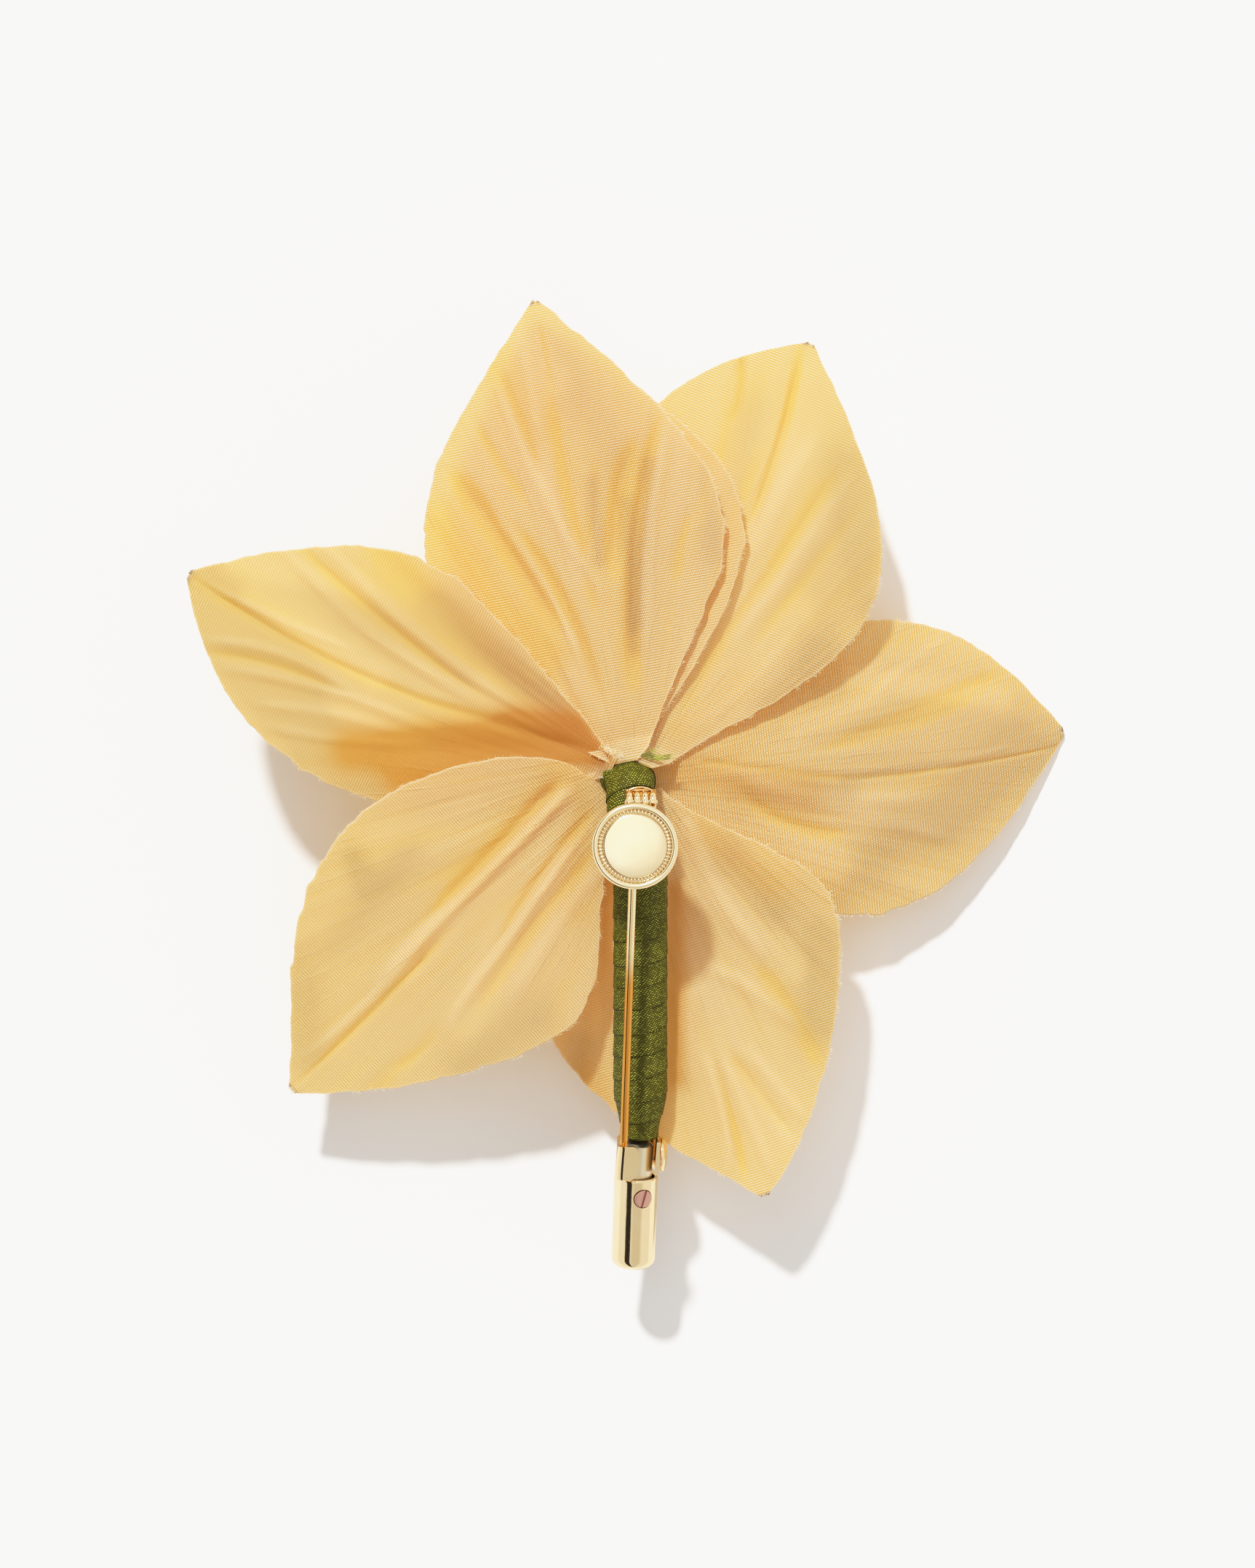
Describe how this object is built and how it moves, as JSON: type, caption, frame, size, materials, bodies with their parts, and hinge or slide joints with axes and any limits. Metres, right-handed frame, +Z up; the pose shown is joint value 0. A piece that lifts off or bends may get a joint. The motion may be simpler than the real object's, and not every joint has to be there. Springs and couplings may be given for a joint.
{
  "type": "fabric daffodil flower brooch",
  "caption": "Cloth daffodil brooch lying face down, with a ruffled trumpet, a ribbon-wrapped stem and a hinged pin closed by a hooked catch.",
  "frame": {"origin": "middle of the whole piece's outline from above, on the surface it lies on", "axes": "+Z up, away from the surface, on the side of the pin; +Y away from the stem's end; +X to the right seen from above"},
  "size_m": [0.1034, 0.1138, 0.0313],
  "materials": {
    "petal_cloth": "pale yellow satin-weave cloth with pressed veins and frayed cut edges",
    "corona_cloth": "golden yellow cloth",
    "stamen_moulding": "matte moulding with dusty heads",
    "core_moulding": "matte",
    "stem_metal": "gold-coloured anodised aluminium rod",
    "ribbon": "glossy olive green satin ribbon",
    "gold_plate": "polished pale gold plating",
    "screw_metal": "rose copper coloured plating"
  },
  "bodies": {
    "brooch": {"petal_top": "petal_cloth", "petal_top_under": "petal_cloth", "petal_upper_right": "petal_cloth", "petal_right": "petal_cloth", "petal_bottom": "petal_cloth", "petal_lower_left": "petal_cloth", "petal_left": "petal_cloth", "corona": "corona_cloth", "stamens": "stamen_moulding", "flower_core": "core_moulding", "stem_rod": "stem_metal", "ribbon_wrap": "ribbon", "hinge_base": "gold_plate", "hinge_pin": "gold_plate", "catch": "gold_plate", "catch_rivet": "gold_plate", "end_sleeve": "gold_plate", "set_screw": "screw_metal"},
    "pin": {"pin_needle": "gold_plate", "medallion": "gold_plate"}
  },
  "joints": [
    {"name": "pin_swing", "type": "hinge", "parent": "brooch", "child": "pin", "pos_m": [0.00109, -0.00171, 0.0276], "axis": [-1, 0, 0], "range_deg": [0, 100]}
  ]
}
